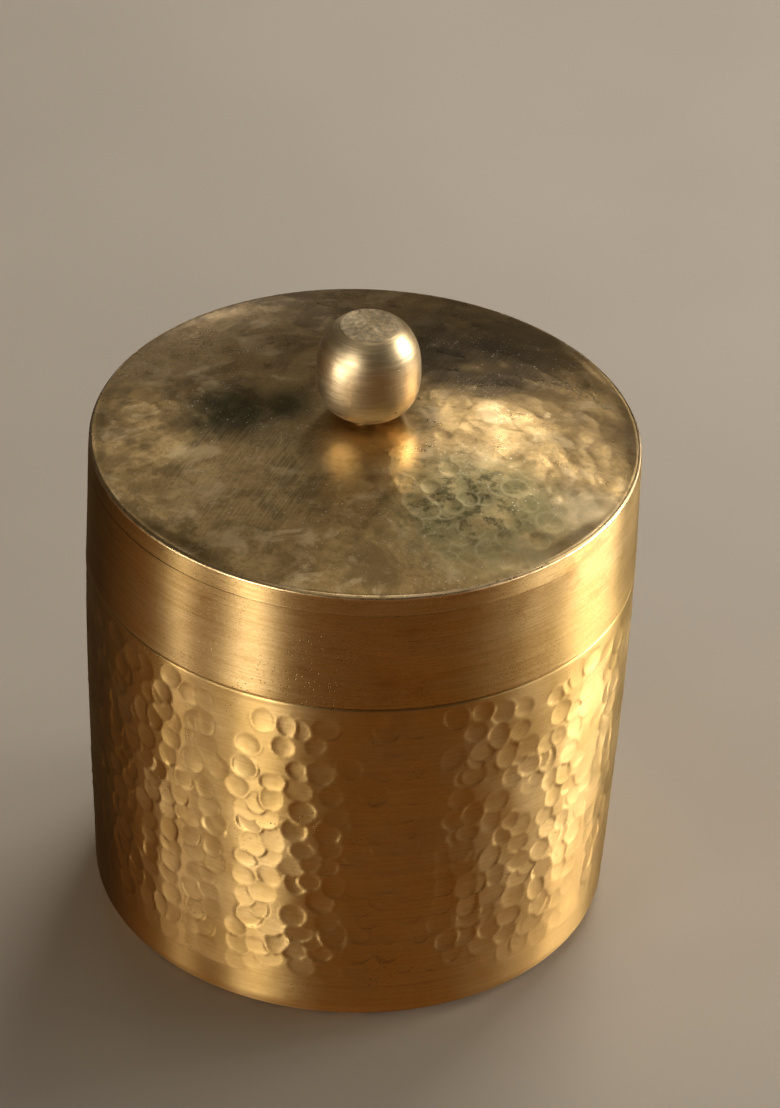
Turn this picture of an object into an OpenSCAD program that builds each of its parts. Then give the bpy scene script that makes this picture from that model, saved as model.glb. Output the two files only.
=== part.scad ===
// Round hammered brass spice box (masala dabba) with a slip-on lid, a ball knob,
// seven spice cups and a spoon. Millimetres, +Z up, origin at the centre of the base.

/* [Body] */
// Outer radius of the drum at its widest, just under the shoulder
body_r = 50; // [48:0.1:52]
// How much narrower the drum is at its foot
body_taper = 3.1; // [1:0.1:5]
// Height of the shoulder that the lid rests on
shoulder_z = 72; // [66:0.5:76]
// Sheet thickness of the drum
wall_t = 1.2; // [0.8:0.1:1.3]
// Radius of the turned-in shoulder
shoulder_turn = 0.5; // [0.4:0.1:1.2]
// Height of the smooth base pan's skirt
pan_h = 8; // [7:0.5:12]
// Outside radius of the pan's rounded corner
pan_corner = 4; // [3:0.25:5]

/* [Neck collar] */
// Outer radius of the collar, inside the lid band
collar_r = 48.6; // [48.3:0.05:48.7]
// Sheet thickness of the collar
collar_t = 0.9; // [0.6:0.1:1]
// Lower edge of the collar inside the drum
collar_z0 = 60; // [56:1:64]
// Upper edge of the collar inside the lid
collar_z1 = 88.5; // [82:0.5:89]

/* [Lid] */
// Outer radius of the lid band
lid_r = 50; // [49.9:0.05:50.2]
// Sheet thickness of the lid band
band_t = 1; // [0.8:0.1:1]
// Height of the seam between the band and the cap
seam_z = 92.4; // [92:0.1:93]
// Height of the lid's rim
rim_z = 96.5; // [96:0.5:98]
// Radius of the rim's bright edge
rim_r = 49.1; // [49:0.1:49.3]
// Height that the domed top rises above the rim
dome_rise = 5.5; // [3:0.1:6]
// Sheet thickness of the cap
cap_t = 1; // [0.8:0.1:1.2]

/* [Knob] */
// Radius of the ball
ball_r = 9.5; // [8:0.1:11]
// Height of the ball's lower half
ball_low_h = 8.6; // [8:0.1:10]
// How full the ball is, 2 for a plain round one
ball_fullness = 2.5; // [2:0.1:3]
// Height of the ball's upper half before its flat is cut
ball_high_h = 11.1; // [9:0.1:12]
// Radius of the flat on top of the ball
flat_r = 5.4; // [3:0.1:6]
// Height of the lowest point of the ball's outline above the dome
neck_h = 0.3; // [0.2:0.1:2]
// Radius of the short neck that the ball stands on
neck_r = 3.2; // [3:0.1:4]

/* [Cups] */
// Distance from the middle cup's axis to each outer cup's axis
cup_pitch = 31.2; // [31.1:0.05:31.4]
// Outer radius of a cup near its foot
cup_foot_r = 13.25; // [12:0.05:13.5]
// Outer radius of a cup below its rim
cup_top_r = 14.4; // [13.6:0.05:14.5]
// Height of a cup
cup_h = 70.5; // [50:0.5:70.5]
// Sheet thickness of a cup
cup_t = 0.8; // [0.6:0.1:1]
// Radius of the rolled bead round a cup's rim
bead_r = 0.8; // [0.7:0.05:0.8]

/* [Spoon] */
// Outer radius of the spoon's bowl
bowl_r = 11; // [8:0.5:12]
// Depth of the spoon's bowl
bowl_depth = 8; // [7:0.5:10]
// Length of the handle beyond the bowl's rim
handle_len = 60; // [40:1:62]
// Width of the handle
handle_w = 5; // [4:0.5:7]
// Thickness of the spoon's sheet
spoon_t = 1; // [0.8:0.1:1.2]

/* [Hidden] */
$fn = 180;

// A lapped seam's inner lip, its thickness and its height behind the next sheet
lap_t = 0.7;
lap_h = 2;
// A brazing fillet's leg, and the air left between it and a curved wall
braze_leg = 0.6;
fit_gap = 0.03;
// Air between the lid band's lower edge and the shoulder
lid_gap = 0.15;
// Rounding of the lid's rim edge
rim_round = 0.8;
// Radius of the flat seat for the knob in the middle of the dome
seat_r = 6;
dome_z = rim_z + dome_rise;
// Straight-sided steps along the outlines of the drum, the dome and each half of the ball
wall_steps = 14;
dome_steps = 16;
knob_steps = 18;
// Screw that holds the knob, its clearance hole in the cap and the tapped hole in the knob
screw_r = 2;
screw_hole_r = 2.2;
tapped_r = 2.05;
screw_depth = 9;
head_r = 3.8;
head_h = 2.2;
slot_w = 1;
slot_depth = 1.1;
washer_r = 5.4;
washer_t = 0.8;
// Air between the spoon's handle and the cups' rims
spoon_gap = 0.3;
outer_cup_count = 6;
first_cup_angle = 30;
// The outer cup that holds the spoon's bowl
spoon_cup = 3;

// Drum's outer radius at height z: nearly straight at the top, drawn in towards the foot
function drum_r(z) = body_r - body_taper * pow(max(0, shoulder_z - shoulder_turn - z)
                     / (shoulder_z - shoulder_turn), 1.4);

// Drum's inner radius at height z, never wider than the collar that fits in its mouth
function drum_inner_r(z) = min(collar_r, drum_r(z) - wall_t);

function cup_angle(i) = first_cup_angle + (i - 1) * 360 / outer_cup_count;

// Height of the dome's outer face at radius r
function dome_at(r) = rim_z + dome_rise * (1 - pow(max(0, r - seat_r) / (rim_r - seat_r), 2));

function arc(centre_r, centre_z, radius, from, to, steps) =
    [for (i = [0 : steps]) let (a = from + (to - from) * i / steps)
        [centre_r + radius * cos(a), centre_z + radius * sin(a)]];

module turned(outline) {
    rotate_extrude()
        polygon(outline);
}

// Triangular fillet round the axis, with its corner at radius r and height z
module fillet_ring(r, z, in_leg, up_leg) {
    turned([[r, z], [r, z + up_leg], [r + in_leg, z]]);
}

// Hammered drum between the base pan and the shoulder
module body_wall() {
    top = shoulder_z - shoulder_turn;
    outer = [for (i = [0 : wall_steps]) let (z = pan_h + (top - pan_h) * i / wall_steps) [drum_r(z), z]];
    inner = [for (i = [wall_steps - 1 : -1 : 0]) let (z = pan_h + (collar_z0 - pan_h) * i / wall_steps)
                [drum_inner_r(z), z]];
    color([0.78, 0.6, 0.3])
        turned(concat(outer, arc(body_r - shoulder_turn, top, shoulder_turn, 9, 90, 9),
                      [[collar_r, shoulder_z], [collar_r, collar_z0]], inner));
}

// Smooth base with a rounded corner and a lip that laps behind the drum
module base_pan() {
    foot_r = drum_r(pan_corner);
    skirt_r = drum_r(pan_h);
    inner_r = foot_r - pan_corner;
    color([0.76, 0.58, 0.3])
        turned(concat([[0, 0]], arc(inner_r, pan_corner, pan_corner, -90, 0, 12),
                      [[skirt_r, pan_h],
                       [skirt_r - wall_t, pan_h],
                       [skirt_r - wall_t, pan_h + lap_h],
                       [skirt_r - wall_t - lap_t, pan_h + lap_h],
                       [skirt_r - wall_t - lap_t, pan_corner + 1]],
                      arc(inner_r, pan_corner, pan_corner - wall_t, 0, -90, 12),
                      [[0, wall_t]]));
}

// Brazing fillet on top of the base pan's lip
module base_braze() {
    r = drum_r(pan_h) - wall_t;
    color([0.72, 0.62, 0.42])
        fillet_ring(r, pan_h + lap_h, -lap_t, braze_leg);
}

// Collar that the lid slips over
module neck_collar() {
    edge = collar_t / 2;
    inner_r = collar_r - collar_t;
    color([0.8, 0.64, 0.34])
        turned(concat([[inner_r, collar_z0], [collar_r, collar_z0]],
                      arc(collar_r - edge, collar_z1 - edge, edge, 0, 180, 8)));
}

// Brazing fillet under the collar, against the drum's inside
module collar_braze() {
    low_z = collar_z0 - 1.2 * braze_leg;
    color([0.72, 0.62, 0.42])
        turned([[collar_r - collar_t + 0.15, collar_z0],
                [drum_inner_r(collar_z0) - fit_gap, collar_z0],
                [drum_inner_r(low_z) - fit_gap, low_z]]);
}

// Domed top with a short skirt that ends at the seam
module lid_cap() {
    skirt_top = rim_z - rim_round;
    outer_dome = [for (i = [dome_steps : -1 : 0]) let (r = seat_r + (rim_r - seat_r) * i / dome_steps)
                    [r, dome_at(r)]];
    inner_r = lid_r - band_t;
    under_dome = [for (i = [0 : dome_steps])
                    let (r = seat_r + (inner_r - 1.2 - seat_r) * i / dome_steps) [r, dome_at(r) - cap_t]];
    color([0.72, 0.58, 0.32])
        difference() {
            turned(concat([[lid_r, seam_z], [lid_r - 0.1, skirt_top]],
                          arc(rim_r, skirt_top, rim_round, 15, 75, 5),
                          outer_dome,
                          [[0, dome_z], [0, dome_z - cap_t]],
                          under_dome,
                          [[inner_r - lap_t, rim_z - cap_t - 1.2],
                           [inner_r - lap_t, seam_z - lap_h],
                           [inner_r, seam_z - lap_h],
                           [inner_r, seam_z]]));
            translate([0, 0, dome_z - cap_t - 1])
                cylinder(h = cap_t + 2, r = screw_hole_r);
        }
}

// Straight turned band below the seam
module lid_band() {
    foot_z = shoulder_z + lid_gap;
    edge = 0.25;
    inner_r = lid_r - band_t;
    color([0.8, 0.63, 0.33])
        turned([[inner_r, foot_z],
                [lid_r - edge, foot_z],
                [lid_r, foot_z + edge],
                [lid_r, seam_z],
                [inner_r, seam_z]]);
}

// Brazing fillet under the cap's lip, inside the lid
module lid_braze() {
    color([0.72, 0.62, 0.42])
        fillet_ring(lid_r - band_t, seam_z - lap_h, -lap_t, -braze_leg);
}

// Solid turned ball with a flat on top and a short neck, tapped from below
module knob() {
    ball_z = dome_z + neck_h + ball_low_h;
    flat_a = acos(pow(flat_r / ball_r, ball_fullness / 2));
    neck_a = acos(pow(neck_r / ball_r, ball_fullness / 2));
    low = [for (i = [knob_steps : -1 : 1]) let (a = neck_a * i / knob_steps)
              [ball_r * pow(cos(a), 2 / ball_fullness), ball_z - ball_low_h * pow(sin(a), 2 / ball_fullness)]];
    high = [for (i = [0 : knob_steps]) let (a = flat_a * i / knob_steps)
               [ball_r * pow(cos(a), 2 / ball_fullness), ball_z + ball_high_h * pow(sin(a), 2 / ball_fullness)]];
    color([0.82, 0.68, 0.42])
        difference() {
            turned(concat([[0, dome_z], [neck_r, dome_z]], low, high,
                          [[0, ball_z + ball_high_h * pow(sin(flat_a), 2 / ball_fullness)]]));
            translate([0, 0, dome_z - 1])
                cylinder(h = screw_depth + 2, r = tapped_r);
        }
}

// Slotted screw that holds the knob from inside the lid
module knob_screw() {
    head_top = dome_z - cap_t - washer_t;
    color("silver")
        difference() {
            union() {
                translate([0, 0, head_top - head_h])
                    cylinder(h = head_h, r = head_r);
                translate([0, 0, head_top - 0.1])
                    cylinder(h = dome_z - head_top + screw_depth, r = screw_r);
            }
            translate([-head_r - 1, -slot_w / 2, head_top - head_h - 1])
                cube([2 * head_r + 2, slot_w, slot_depth + 1]);
        }
}

// Plain washer under the screw's head
module knob_washer() {
    color("gainsboro")
        translate([0, 0, dome_z - cap_t - washer_t])
            difference() {
                cylinder(h = washer_t, r = washer_r);
                translate([0, 0, -1])
                    cylinder(h = washer_t + 2, r = screw_hole_r);
            }
}

// Tall spice cup standing on the base, with a rounded foot and a rolled rim
module cup() {
    corner = 3;
    flat = cup_foot_r - corner;
    bead_z = cup_h - bead_r;
    color([0.84, 0.68, 0.38])
        translate([0, 0, wall_t])
            union() {
                turned(concat([[0, 0]], arc(flat, corner, corner, -90, 0, 8),
                              [[cup_top_r, bead_z], [cup_top_r - cup_t, bead_z]],
                              arc(flat, corner, corner - cup_t, 0, -90, 8),
                              [[0, cup_t]]));
                rotate_extrude()
                    translate([cup_top_r - cup_t / 2 + 0.2, bead_z])
                        circle(r = bead_r, $fn = 24);
            }
}

module outer_cup(i) {
    rotate([0, 0, cup_angle(i)])
        translate([cup_pitch, 0, 0])
            cup();
}

// Places the spoon with its bowl in one cup's mouth and its handle over the opposite cup
module in_spoon_place() {
    rotate([0, 0, cup_angle(spoon_cup)])
        translate([cup_pitch, 0, wall_t + cup_h + spoon_gap])
            children();
}

// Round bowl of the spoon, a shallow dish with a rounded bottom
module spoon_bowl() {
    corner = 5;
    color([0.84, 0.68, 0.38])
        in_spoon_place()
            translate([0, 0, -bowl_depth])
                turned(concat([[0, 0]], arc(bowl_r - 1 - corner, corner, corner, -90, 0, 10),
                              [[bowl_r, bowl_depth], [bowl_r - spoon_t, bowl_depth]],
                              arc(bowl_r - 1 - corner, corner, corner - spoon_t, 0, -90, 10),
                              [[0, spoon_t]]));
}

// Flat handle brazed on the bowl's rim, with a round end
module spoon_handle() {
    end_r = handle_w * 0.8;
    root_r = bowl_r - 0.5 * spoon_t;
    end_x = root_r + handle_len - end_r;
    color([0.84, 0.68, 0.38])
        in_spoon_place()
            linear_extrude(height = spoon_t)
                difference() {
                    union() {
                        translate([-end_x, -handle_w / 2])
                            square([end_x - bowl_r + 3, handle_w]);
                        translate([-end_x, 0])
                            circle(r = end_r, $fn = 64);
                    }
                    circle(r = bowl_r - 1.5 * spoon_t, $fn = 96);
                }
}

body_wall();
base_pan();
base_braze();
neck_collar();
collar_braze();
lid_cap();
lid_band();
lid_braze();
knob();
knob_screw();
knob_washer();
cup();  // centre_cup
outer_cup(1);  // cup_1
outer_cup(2);  // cup_2
outer_cup(3);  // cup_3
outer_cup(4);  // cup_4
outer_cup(5);  // cup_5
outer_cup(6);  // cup_6
spoon_bowl();
spoon_handle();
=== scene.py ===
import math

import bpy
import numpy as np
from mathutils import Matrix, Vector


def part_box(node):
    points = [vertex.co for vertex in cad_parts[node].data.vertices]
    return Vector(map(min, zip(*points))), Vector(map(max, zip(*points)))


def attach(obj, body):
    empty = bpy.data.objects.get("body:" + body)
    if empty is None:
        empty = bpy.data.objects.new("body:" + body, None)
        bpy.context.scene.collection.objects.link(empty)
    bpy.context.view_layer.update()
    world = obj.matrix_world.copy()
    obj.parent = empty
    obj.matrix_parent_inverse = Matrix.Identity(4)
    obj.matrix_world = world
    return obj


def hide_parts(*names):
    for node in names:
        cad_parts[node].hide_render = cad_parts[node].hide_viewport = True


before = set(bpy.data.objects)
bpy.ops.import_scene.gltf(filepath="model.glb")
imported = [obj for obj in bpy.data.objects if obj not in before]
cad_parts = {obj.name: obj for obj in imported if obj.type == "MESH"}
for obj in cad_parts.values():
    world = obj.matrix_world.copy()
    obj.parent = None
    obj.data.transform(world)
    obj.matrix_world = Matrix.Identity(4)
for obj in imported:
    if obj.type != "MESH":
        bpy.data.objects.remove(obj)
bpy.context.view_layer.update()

MM = 0.001


# ---- sizes from the frame, in mm

def node_mm(node):
    """A CAD node's lowest and highest corners, in millimetres."""
    low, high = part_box(node)
    return np.array(low) / MM, np.array(high) / MM


wall_low, wall_high = node_mm("body_wall")
band_low, band_high = node_mm("lid_band")
collar_low, collar_high = node_mm("neck_collar")
knob_low, knob_high = node_mm("knob")
cup_low, cup_high = node_mm("centre_cup")

TURN = 2 * math.pi
SHEET = 1.2
DRUM_R = wall_high[0]
DRUM_TAPER = 3.1
TAPER_CURVE = 1.4
SHOULDER_Z = wall_high[2]
SHOULDER_TURN = 0.5
HAMMER_TOP = SHOULDER_Z - SHOULDER_TURN
PAN_H = wall_low[2]
PAN_CORNER = 4.0
LAP = 0.7
LAP_H = 2.0
LID_R = band_high[0]
BAND_LOW, SEAM_Z = band_low[2], band_high[2]
BAND_T = 1.0
LID_IN_R = LID_R - BAND_T
CAP_T = 1.0
DOME_Z = knob_low[2]
DOME_RISE = 5.5
RIM_R = 49.1
RIM_Z = DOME_Z - DOME_RISE
RIM_ROUND = 0.8
SEAT_R = 6.0
HOLE_R = 2.2
COLLAR_R = collar_high[0]
COLLAR_LOW, COLLAR_TOP = collar_low[2], collar_high[2]
COLLAR_T = 0.9
CUP_COUNT = 6


def drum_r(z):
    """Outer radius of the drum at height z."""
    fall = np.maximum(0, HAMMER_TOP - z) / HAMMER_TOP
    return DRUM_R - DRUM_TAPER * fall ** TAPER_CURVE


def dome_at(r):
    """Height of the lid's dome at radius r."""
    out = np.maximum(0, np.asarray(r) - SEAT_R) / (RIM_R - SEAT_R)
    return RIM_Z + (DOME_Z - RIM_Z) * (1 - out ** 2)


# ---- mesh building

def arc(centre_r, centre_z, radius, start, end, steps):
    """Points (r, z) along an arc, angles in degrees from +r towards +z."""
    a = np.radians(np.linspace(start, end, steps + 1))
    return [(centre_r + radius * math.cos(t), centre_z + radius * math.sin(t)) for t in a]


def line(a, b, step):
    """Points from a to b, both included, about step apart."""
    n = max(1, round(math.dist(a, b) / step))
    return [(a[0] + (b[0] - a[0]) * i / n, a[1] + (b[1] - a[1]) * i / n) for i in range(n + 1)]


def joined(*runs):
    """One outline from several runs of points, without the doubled joints."""
    out = []
    for run in runs:
        for p in run:
            if not out or math.dist(out[-1], p) > 1e-4:
                out.append(p)
    if math.dist(out[0], out[-1]) < 1e-4:
        out.pop()
    return out


def mesh_object(name, points, quads, triangles, sharp=40, centre=(0, 0)):
    """An object from vertices in mm and faces as index arrays, smooth with creases past the sharp angle."""
    points = points + np.array([centre[0], centre[1], 0])
    mesh = bpy.data.meshes.new(name)
    corners = np.concatenate([quads.ravel(), triangles.ravel()]).astype(np.int32)
    sizes = np.concatenate([np.full(len(quads), 4), np.full(len(triangles), 3)]).astype(np.int32)
    mesh.vertices.add(len(points))
    mesh.vertices.foreach_set("co", (points * MM).astype(np.float32).ravel())
    mesh.loops.add(len(corners))
    mesh.loops.foreach_set("vertex_index", corners)
    mesh.polygons.add(len(sizes))
    mesh.polygons.foreach_set("loop_start", np.concatenate([[0], np.cumsum(sizes)[:-1]]).astype(np.int32))
    mesh.update(calc_edges=True)
    mesh.validate()
    mesh.polygons.foreach_set("use_smooth", np.ones(len(mesh.polygons), bool))
    mesh.set_sharp_from_angle(angle=math.radians(sharp))
    ob = bpy.data.objects.new(name, mesh)
    bpy.context.scene.collection.objects.link(ob)
    return ob


def lathe(name, outline, segments, shift=None, sharp=40, centre=(0, 0), field=None):
    """Turns a closed outline of (r, z) points, listed anticlockwise with +r to the right, round +Z.

    shift(angles, r, z) gives how far each vertex moves out along the outline's normal, in mm. field is the
    name of a vertex attribute that keeps the second value that shift then gives.
    """
    ring = np.array(outline, float)
    axis = ring[:, 0] < 1e-6
    after, before = np.roll(ring, -1, 0), np.roll(ring, 1, 0)
    along = after - before
    normal = np.stack([along[:, 1], -along[:, 0]], 1)
    normal /= np.maximum(np.linalg.norm(normal, axis=1, keepdims=True), 1e-9)
    normal[axis] = [0, 0]
    angles = TURN * np.arange(segments) / segments
    r = np.repeat(ring[:, 0:1], segments, 1)
    z = np.repeat(ring[:, 1:2], segments, 1)
    extra = None
    if shift is not None:
        moved = shift(np.repeat(angles[None], len(ring), 0), r, z)
        if field:
            moved, extra = moved
        r = r + normal[:, 0:1] * moved
        z = z + normal[:, 1:2] * moved
    points = np.stack([r * np.cos(angles), r * np.sin(angles), z], -1).reshape(-1, 3)
    quads, triangles = [], []
    col = np.arange(segments)
    nxt = (col + 1) % segments
    for i in range(len(ring)):
        j = (i + 1) % len(ring)
        if axis[i] and axis[j]:
            continue
        a, b = i * segments, j * segments
        if axis[i]:
            triangles.append(np.stack([np.full(segments, a), b + nxt, b + col], 1))
        elif axis[j]:
            triangles.append(np.stack([a + col, a + nxt, np.full(segments, b)], 1))
        else:
            quads.append(np.stack([a + col, a + nxt, b + nxt, b + col], 1))
    quads = np.concatenate(quads) if quads else np.zeros((0, 4), int)
    triangles = np.concatenate(triangles) if triangles else np.zeros((0, 3), int)
    used = np.unique(np.concatenate([quads.ravel(), triangles.ravel()]))
    place = np.full(len(points), -1)
    place[used] = np.arange(len(used))
    ob = mesh_object(name, points[used], place[quads], place[triangles], sharp, centre)
    if extra is not None:
        kept = ob.data.attributes.new(field, "FLOAT", "POINT")
        kept.data.foreach_set("value", extra.reshape(-1)[used].astype(np.float32))
    return ob


# ---- hammer marks on the drum

def smooth(a, b, x):
    """0 up to a and 1 from b on, with an eased rise between. It falls instead when a is more than b."""
    t = np.clip((x - a) / (b - a), 0, 1)
    return t * t * (3 - 2 * t)


def waves(rng, angles, height, count, most_turns, most_rises, size):
    """Smooth random unevenness over the angle and the height, in mm, that closes on itself round the axis."""
    out = np.zeros_like(angles)
    for _ in range(count):
        turns = rng.integers(1, most_turns + 1)
        rises = rng.uniform(-most_rises, most_rises)
        out += rng.normal() * np.cos(turns * angles + rises * height + rng.uniform(0, TURN))
    return out * size / math.sqrt(count)


HAMMER_LOW = PAN_H + 1.5
COLUMNS = 57
COLUMN_WANDER = 0.24
FIRST_MARK = (2.6, 5.6)
MARK_R = (2.15, 2.75)
MARK_DEPTH = (0.09, 0.15)
MARK_STEP = (3.9, 5.6)
MARK_SCATTER = 1.05
MARK_STRETCH = (0.86, 1.16)
MARK_TILT = 0.5
MARK_LEAN = 0.024
SPARSE_H, CLOSE_FROM, CLOSER = 14, 22, 0.84
MISSED_HIGH, MISSED_LOW, SECOND_BLOW = 0.12, 0.03, 0.22


def hammer_marks(rng):
    """(angle, height, radius, depth, stretch, tilt, lean) of each mark, the lowest first.

    They run in rough columns, sparser near the top. Some have a smaller blow beside them.
    """
    marks = []

    def strike(angle, z, radius, deep):
        marks.append((angle, z, radius, deep, rng.uniform(*MARK_STRETCH), rng.uniform(-MARK_TILT, MARK_TILT),
                      rng.normal(0, MARK_LEAN, 2)))

    for column in range(COLUMNS):
        middle = TURN * (column + rng.uniform(-COLUMN_WANDER, COLUMN_WANDER)) / COLUMNS
        z = HAMMER_TOP - rng.uniform(*FIRST_MARK)
        while z > HAMMER_LOW:
            radius = rng.uniform(*MARK_R)
            missed = MISSED_HIGH if z > HAMMER_TOP - SPARSE_H else MISSED_LOW
            if rng.random() > missed:
                strike(middle + rng.normal() * MARK_SCATTER / DRUM_R, z, radius, rng.uniform(*MARK_DEPTH))
            if rng.random() < SECOND_BLOW:
                strike(middle + rng.uniform(1.4, 3.8) / DRUM_R, z + rng.uniform(-1.8, 1.8), 0.85 * radius,
                       0.7 * rng.uniform(*MARK_DEPTH))
            z -= rng.uniform(*MARK_STEP) * (1.0 if z > HAMMER_TOP - CLOSE_FROM else CLOSER)
    marks.sort(key=lambda m: m[1])
    return marks


def hammered(angles, r, z):
    """How far the hammered face stands out, and nearness to a mark's lower edge from 0 to 1.

    Each mark is a shallow bowl below the plane that best fits the face round its rim.
    """
    rng = np.random.default_rng(41)
    outer = (np.arange(len(z))[:, None] < outer_rows) & (z > 0)
    relief = waves(rng, angles, z / 9, 10, 9, 1, 0.06) * outer * smooth(PAN_H, PAN_H + 6, z)
    hollow = np.zeros_like(relief)
    rows_z = z[:outer_rows, 0]
    cols = angles.shape[1]
    turn = TURN / cols
    for angle, high, radius, deep, stretch, tilt, lean in hammer_marks(rng):
        reach = 1.35 * radius
        rows = np.nonzero(np.abs(rows_z - high) < reach)[0]
        if not len(rows):
            continue
        rr = drum_r(high)
        half = int(reach / (rr * turn)) + 1
        columns = (int(round(angle / turn)) + np.arange(-half, half + 1)) % cols
        at = np.ix_(rows, columns)
        x = ((angles[at] - angle + math.pi) % TURN - math.pi) * rr
        y = z[at] - high
        u = (x * math.cos(tilt) + y * math.sin(tilt)) * stretch / radius
        v = (y * math.cos(tilt) - x * math.sin(tilt)) / stretch / radius
        rho = np.sqrt(u * u + v * v)
        fade = smooth(HAMMER_LOW - 1, HAMMER_LOW + 7, high)
        deep *= 0.35 + 0.65 * fade
        round_it = (rho > 0.9) & (rho < 1.1)
        flat = np.stack([np.ones(rho.shape), u, v], -1)
        level, slope_u, slope_v = np.linalg.lstsq(flat[round_it], relief[at][round_it], rcond=None)[0]
        slope_u = 0.7 * slope_u + radius * fade * lean[0]
        slope_v = 0.7 * slope_v + radius * fade * lean[1]
        ground = 0.85 * level + slope_u * u + slope_v * v
        inside = 1 - smooth(0.94, 1.05, rho)
        relief[at] = relief[at] * (1 - inside) + (ground - deep * (1 - rho ** 2.5)) * inside
        edge = np.exp(-((rho - 1.02) / 0.09) ** 2) * smooth(-0.3, -0.9, v)
        hollow[at] = np.maximum(hollow[at] * (1 - inside), edge * (0.4 + 0.6 * fade))
    relief *= outer
    return relief, hollow * outer


GRID = 0.34
outer_side = [(float(drum_r(z)), z) for _, z in line((0, PAN_H), (0, HAMMER_TOP), GRID)]
outer_rows = len(outer_side) - 2
MOUTH_R = COLLAR_R + 0.01
inner_side = [(float(min(MOUTH_R, drum_r(z) - SHEET)), z)
              for _, z in line((0, COLLAR_LOW), (0, PAN_H), 2.5)]
drum_outline = joined(
    outer_side, arc(DRUM_R - SHOULDER_TURN, HAMMER_TOP, SHOULDER_TURN, 0, 90, 8),
    line((DRUM_R - SHOULDER_TURN, SHOULDER_Z), (MOUTH_R, SHOULDER_Z), 0.2),
    line((MOUTH_R, SHOULDER_Z), (MOUTH_R, COLLAR_LOW + 0.3), 2.5), inner_side,
    line((inner_side[-1][0], PAN_H), (outer_side[0][0], PAN_H), 0.4))
drum = lathe("hammered_drum", drum_outline, round(TURN * DRUM_R / GRID), hammered, field="hollow")
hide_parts("body_wall")
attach(drum, "drum")


# ---- base pan, braze and collar

FOOT_R = float(drum_r(PAN_CORNER))
SKIRT_R = float(drum_r(PAN_H))
LIP_R = SKIRT_R - SHEET
LIP_Z = PAN_H + LAP_H
FLAT_FOOT_R = FOOT_R - PAN_CORNER
SEAM_GAP = 0.02
pan_outline = joined(
    line((0, 0), (FLAT_FOOT_R, 0), 3), arc(FLAT_FOOT_R, PAN_CORNER, PAN_CORNER, -90, 0, 24),
    line((FOOT_R, PAN_CORNER), (SKIRT_R, PAN_H - SEAM_GAP), 0.5),
    [(LIP_R, PAN_H - SEAM_GAP), (LIP_R, LIP_Z), (LIP_R - LAP, LIP_Z), (LIP_R - LAP, PAN_CORNER + 1)],
    arc(FLAT_FOOT_R, PAN_CORNER, PAN_CORNER - SHEET, 0, -90, 14),
    line((FLAT_FOOT_R, SHEET), (0, SHEET), 3))


def worn_base(angles, r, z):
    """The base stands on the middle of its flat, and its skirt is slightly uneven."""
    rng = np.random.default_rng(5)
    dent = waves(rng, angles, z / 6, 8, 11, 1, 0.05)
    return dent * smooth(1.5, 5, z) * (r > SKIRT_R - 1)


base = lathe("smooth_base", pan_outline, 360, worn_base)
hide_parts("base_pan")
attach(base, "drum")


def bead(name, r, z, leg_r, leg_z, node, body, seed):
    """A brazing fillet with the slightly lumpy face that flowed alloy has.

    Its corner is at (r, z), and its legs run leg_r along r and leg_z along z, with their signs.
    """
    steps = 7
    face = [(r + leg_r * (1 - i / steps) ** 1.5, z + leg_z * (i / steps) ** 1.5) for i in range(steps + 1)]
    outline = [(r, z)] + face
    area = sum(a[0] * b[1] - b[0] * a[1] for a, b in zip(outline, outline[1:] + outline[:1]))
    if area < 0:
        outline.reverse()
    rng = np.random.default_rng(seed)

    def lumps(angles, rr, zz):
        free = (np.abs(rr - r) > 0.02) & (np.abs(zz - z) > 0.02)
        return waves(rng, angles, zz * 0, 14, 60, 0, 0.06) * free

    ob = lathe(name, outline, 300, lumps)
    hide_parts(node)
    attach(ob, body)
    return ob


WALL_IN_R = float(drum_r(COLLAR_LOW)) - SHEET
brazes = [bead("base_seam_braze", LIP_R, LIP_Z, -LAP, 0.6, "base_braze", "drum", 11),
          bead("collar_seam_braze", WALL_IN_R, COLLAR_LOW, -0.7, -0.7, "collar_braze", "drum", 12),
          bead("lid_seam_braze", LID_IN_R, SEAM_Z - LAP_H, -LAP, -0.6, "lid_braze", "lid", 13)]


def turned_ring(angles, r, z):
    """Fine lathe marks and a trace of ovality."""
    rng = np.random.default_rng(8)
    marks = 0.006 * np.sin(z * 11 + 2 * np.sin(z * 1.7)) + 0.004 * np.sin(z * 23)
    return marks + waves(rng, angles, z / 9, 6, 5, 0.5, 0.02)


COLLAR_IN_R = COLLAR_R - COLLAR_T
COLLAR_ROUND = COLLAR_T / 2
collar_outline = joined(
    line((COLLAR_IN_R, COLLAR_LOW), (COLLAR_R, COLLAR_LOW), 0.3),
    line((COLLAR_R, COLLAR_LOW), (COLLAR_R, COLLAR_TOP - COLLAR_ROUND), 0.25),
    arc(COLLAR_R - COLLAR_ROUND, COLLAR_TOP - COLLAR_ROUND, COLLAR_ROUND, 0, 180, 10),
    line((COLLAR_IN_R, COLLAR_TOP - COLLAR_ROUND), (COLLAR_IN_R, COLLAR_LOW), 0.5))
collar = lathe("neck_ring", collar_outline, 360, turned_ring)
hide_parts("neck_collar")
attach(collar, "drum")


# ---- lid

def band_wear(angles, r, z):
    """Shallow dents and lathe marks on the outer face of the band."""
    rng = np.random.default_rng(21)
    outside = r > LID_R - 0.4
    dents = waves(rng, angles, z / 7, 12, 14, 1.2, 0.035)
    lines = 0.004 * np.sin(z * 17 + 3 * np.sin(z * 2.1)) + 0.003 * np.sin(z * 29 + np.sin(3 * angles))
    return (dents * smooth(BAND_LOW, BAND_LOW + 3, z) + lines) * outside


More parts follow.
